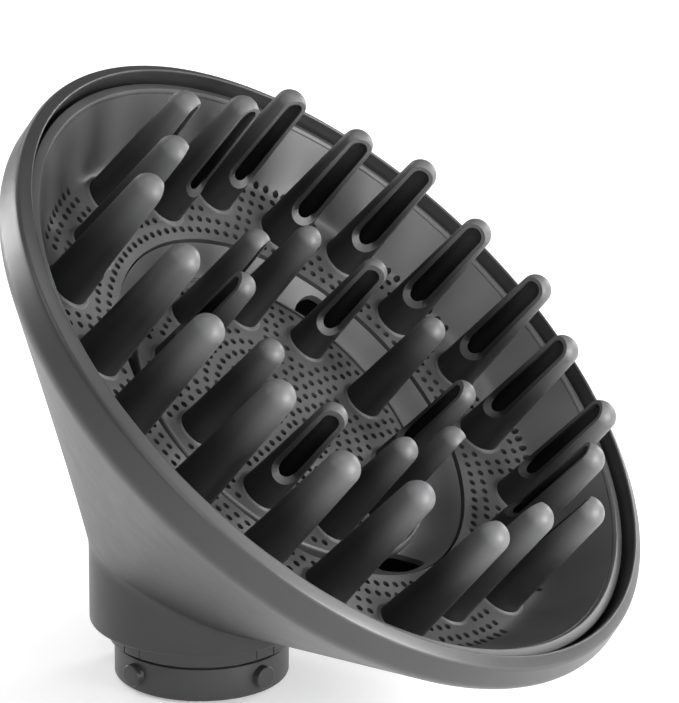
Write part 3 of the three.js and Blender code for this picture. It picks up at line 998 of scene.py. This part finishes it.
def place_prong(name, mesh, spot, facing, material, node):
    """A copy of a prong at its spot in the bowl, turned so that its slot looks along facing."""
    own = mesh.copy()
    own.name = name
    upright = Matrix.Translation(flat(spot).to_3d() * MM) @ Matrix.Rotation(facing, 4, "Z")
    own.transform(BOWL @ upright)
    return finish_piece(name, own, material, [node], 40.0, inside=PAINTED_SHADE_WALL)


def prongs():
    """Outer slots face the middle; inner slots face the wall and the middle in turn."""
    outer = prong_mesh("outer_prong", OUTER_FOOT_H, OUTER_PRONG)
    inner = prong_mesh("inner_prong", CENTRE_H, INNER_PRONG)
    for k, spot in enumerate(OUTER_SPOTS):
        number = f"{k + 1:02d}"
        facing = spot[1] + math.pi
        place_prong(
            f"prong_outer_{number}", outer, spot, facing, OUTER_PRONG_SKIN, f"outer_prong_{number}")
    for k, spot in enumerate(INNER_SPOTS):
        number = f"{k + 1:02d}"
        facing = spot[1] if k % 2 == 0 else spot[1] + math.pi
        place_prong(
            f"prong_inner_{number}", inner, spot, facing, INNER_PRONG_SKIN, f"inner_prong_{number}")
    bpy.data.meshes.remove(outer)
    bpy.data.meshes.remove(inner)


# ---- connector ----

SPIGOT_OUTLINE = [
    (SPIGOT_BORE_R, 0.35), (14.0, 0.0), *arc_points((15.55, 0.45), 0.45, -90, 0, 5),
    (SPIGOT_R, 1.2), (SPIGOT_R, GROOVE_EDGE), (GROOVE_R, GROOVE_LOW), (GROOVE_R, GROOVE_HIGH),
    (SPIGOT_R, GROOVE_HIGH), (SPIGOT_R, 12.2), (FLANGE_R, 12.2), (FLANGE_R, 13.7),
    (SPIGOT_R, 13.7), (SPIGOT_R, 15.0), (SPIGOT_BORE_R, 15.0),
    (SPIGOT_BORE_R, 5.4), (14.6, 5.4), (14.6, 3.0), (SPIGOT_BORE_R, 3.0),
]
PIN_ROUND_CENTRE = (PIN_R - PIN_ROUND, PIN_LENGTH - PIN_ROUND)
PIN_OUTLINE = [
    (0, 0), (PIN_R, 0), *arc_points(PIN_ROUND_CENTRE, PIN_ROUND, 0, 90, 4), (0, PIN_LENGTH),
]


def spigot():
    """The plug-in tube with its flange, groove, four bayonet pins and four snap pads."""
    tube = scratch(mesh_from(turned(SPIGOT_OUTLINE, TUBE_SIDES), "tube"), "tube")
    tools = []
    for k, a in enumerate(PIN_ANGLES):
        mesh = mesh_from(turned(PIN_OUTLINE, PIN_SIDES), f"pin_{k}")
        outward = Matrix.Translation(Vector((PIN_FROM_R, 0, PIN_Z)) * MM)
        mesh.transform(Matrix.Rotation(a, 4, "Z") @ outward @ Matrix.Rotation(math.pi / 2, 4, "Y"))
        tools.append(scratch(mesh, f"pin_{k}"))
        pad = arc_block(*PAD, a, PAD_HALF)
        tools.append(scratch(mesh_from(pad, f"pad_{k}"), f"pad_{k}"))
    mesh = combined(tube, tools, "UNION", "spigot_moulding")
    result = rounded(mesh, "spigot_moulding", width=0.12, angle=50)
    # The groove's faces take the second material, near-black painted shade.
    for face in result.polygons:
        x, y, z = face.center / MM
        in_groove = GROOVE_EDGE - 0.05 < z < GROOVE_HIGH + 0.05
        if in_groove and GROOVE_R - 0.25 < math.hypot(x, y) < SPIGOT_R - 0.05:
            face.material_index = 1
    return finish_piece(
        "spigot_moulding", result, CONNECTOR, ["connector_spigot"], inside=PAINTED_SHADE_WALL)


def arc_block(r0, r1, z0, z1, middle, half):
    """A block that follows an arc between two radii."""
    bm = bmesh.new()
    steps = 10
    columns = []
    for i in range(steps + 1):
        a = middle - half + 2 * half * i / steps
        columns.append([
            bm.verts.new(Vector((r * math.cos(a), r * math.sin(a), z)) * MM)
            for r, z in ((r0, z0), (r1, z0), (r1, z1), (r0, z1))
        ])
    for a, b in zip(columns, columns[1:]):
        strip_between(bm, a, b)
    bm.faces.new(columns[0])
    bm.faces.new(columns[-1])
    return bm


def collar_ring():
    """The narrow ring above the tube, open in front of each snap pad."""
    outline = [
        (COLLAR_BORE_R, COLLAR_LOW), *arc_points((16.7, 7.35), 0.35, -90, 0, 5),
        (COLLAR_R, COLLAR_TOP), (COLLAR_BORE_R, COLLAR_TOP),
    ]
    ring = scratch(mesh_from(turned(outline, TUBE_SIDES), "collar"), "collar")
    tools = []
    for k, a in enumerate(PIN_ANGLES):
        opening = arc_block(*OPENING, a, OPENING_HALF)
        tools.append(scratch(mesh_from(opening, f"opening_{k}"), f"opening_{k}"))
    mesh = combined(ring, tools, "DIFFERENCE", "collar_ring_moulding")
    return finish_piece("collar_ring_moulding", mesh, CONNECTOR, ["collar_ring"])


# ---- setting ----

PART_MIDDLE = Vector((20.0, 0.0, 55.0)) * MM
FLOOR_HALF = 4.0                       # metres, like the glow's distances
FLOOR_Z = -0.6 * MM
GLOW_FROM, GLOW_TO = (0.25, 0.32), (1.0, 0.75)     # distance from the part and strength there

# name, azimuth and elevation in degrees, width, height, power, distance in metres
SOFTBOXES = (
    ("key_low", -6, 10, 0.22, 0.12, 2.7, 0.42),
    ("key_high", 28, 30, 0.5, 0.5, 5.5, 1.1),
    ("back_right", 72, 14, 0.30, 0.26, 4.2, 1.1),
    ("wall", 225, 45, 0.45, 0.45, 2.6, 1.1),
    ("front", -58, 24, 0.5, 0.5, 3.8, 1.1),
    ("key_top", 0, 45, 0.5, 0.5, 3.0, 1.1),
    ("top", 0, 86, 0.5, 0.5, 2.8, 1.1),
    ("back_left", 150, 28, 0.5, 0.5, 2.0, 1.1),
    ("left_low", 172, 6, 0.4, 0.18, 3.4, 1.1),
)


def floor():
    """A pale ground that glows more strongly away from the part, as a backdrop does."""
    bm = bmesh.new()
    corners = ((-1, -1), (1, -1), (1, 1), (-1, 1))
    bm.faces.new([bm.verts.new((x * FLOOR_HALF, y * FLOOR_HALF, FLOOR_Z)) for x, y in corners])
    mesh = mesh_from(bm, "floor")
    obj = bpy.data.objects.new("floor", mesh)
    material = bpy.data.materials.new("pale_floor")
    material.use_nodes = True
    shader = material.node_tree.nodes["Principled BSDF"]
    nodes, links = material.node_tree.nodes, material.node_tree.links
    shader.inputs["Base Color"].default_value = (0.9, 0.9, 0.9, 1)
    shader.inputs["Roughness"].default_value = 0.9
    shader.inputs["Emission Color"].default_value = (1, 1, 1, 1)
    place = nodes.new("ShaderNodeTexCoord")
    away = nodes.new("ShaderNodeVectorMath")
    away.operation = "LENGTH"
    links.new(place.outputs["Object"], away.inputs[0])
    glow = nodes.new("ShaderNodeMapRange")
    glow.inputs["From Min"].default_value, glow.inputs["To Min"].default_value = GLOW_FROM
    glow.inputs["From Max"].default_value, glow.inputs["To Max"].default_value = GLOW_TO
    links.new(away.outputs["Value"], glow.inputs["Value"])
    links.new(glow.outputs["Result"], shader.inputs["Emission Strength"])
    mesh.materials.append(material)
    bpy.context.scene.collection.objects.link(obj)


def softbox(name, azimuth, elevation, width, height, power, distance):
    """A white panel facing the middle of the part, seen from it at the given angles in degrees."""
    a, e = math.radians(azimuth), math.radians(elevation)
    away = Vector((math.cos(a) * math.cos(e), math.sin(a) * math.cos(e), math.sin(e)))
    place = PART_MIDDLE + away * distance
    data = bpy.data.lights.new(name, "AREA")
    data.shape = "RECTANGLE"
    data.size = width
    data.size_y = height
    data.energy = power
    obj = bpy.data.objects.new(name, data)
    obj.location = place
    obj.rotation_euler = (PART_MIDDLE - place).to_track_quat("-Z", "Y").to_euler()
    bpy.context.scene.collection.objects.link(obj)


def lights():
    """A pale studio: soft panels all round, with a low one close to the lean side."""
    world = bpy.data.worlds.new("studio")
    world.use_nodes = True
    background = world.node_tree.nodes["Background"]
    background.inputs["Color"].default_value = (1.0, 1.0, 1.0, 1)
    background.inputs["Strength"].default_value = 0.19
    scene = bpy.context.scene
    scene.world = world
    scene.view_settings.view_transform = "Standard"
    for panel in SOFTBOXES:
        softbox(*panel)


def paint(node, material):
    """Gives a CAD node that stays in the picture its material."""
    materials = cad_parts[node].data.materials
    materials.clear()
    materials.append(material)


camera()
outer_shell()
bowl()
centre_plate()
channel_ring()
prongs()
spigot()
collar_ring()
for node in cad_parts:
    if node.endswith("_retainer"):
        paint(node, HIDDEN)
    elif node.endswith("_seal"):
        paint(node, SILICONE)
    elif "_screw_" in node:
        paint(node, STEEL)
floor()
lights()
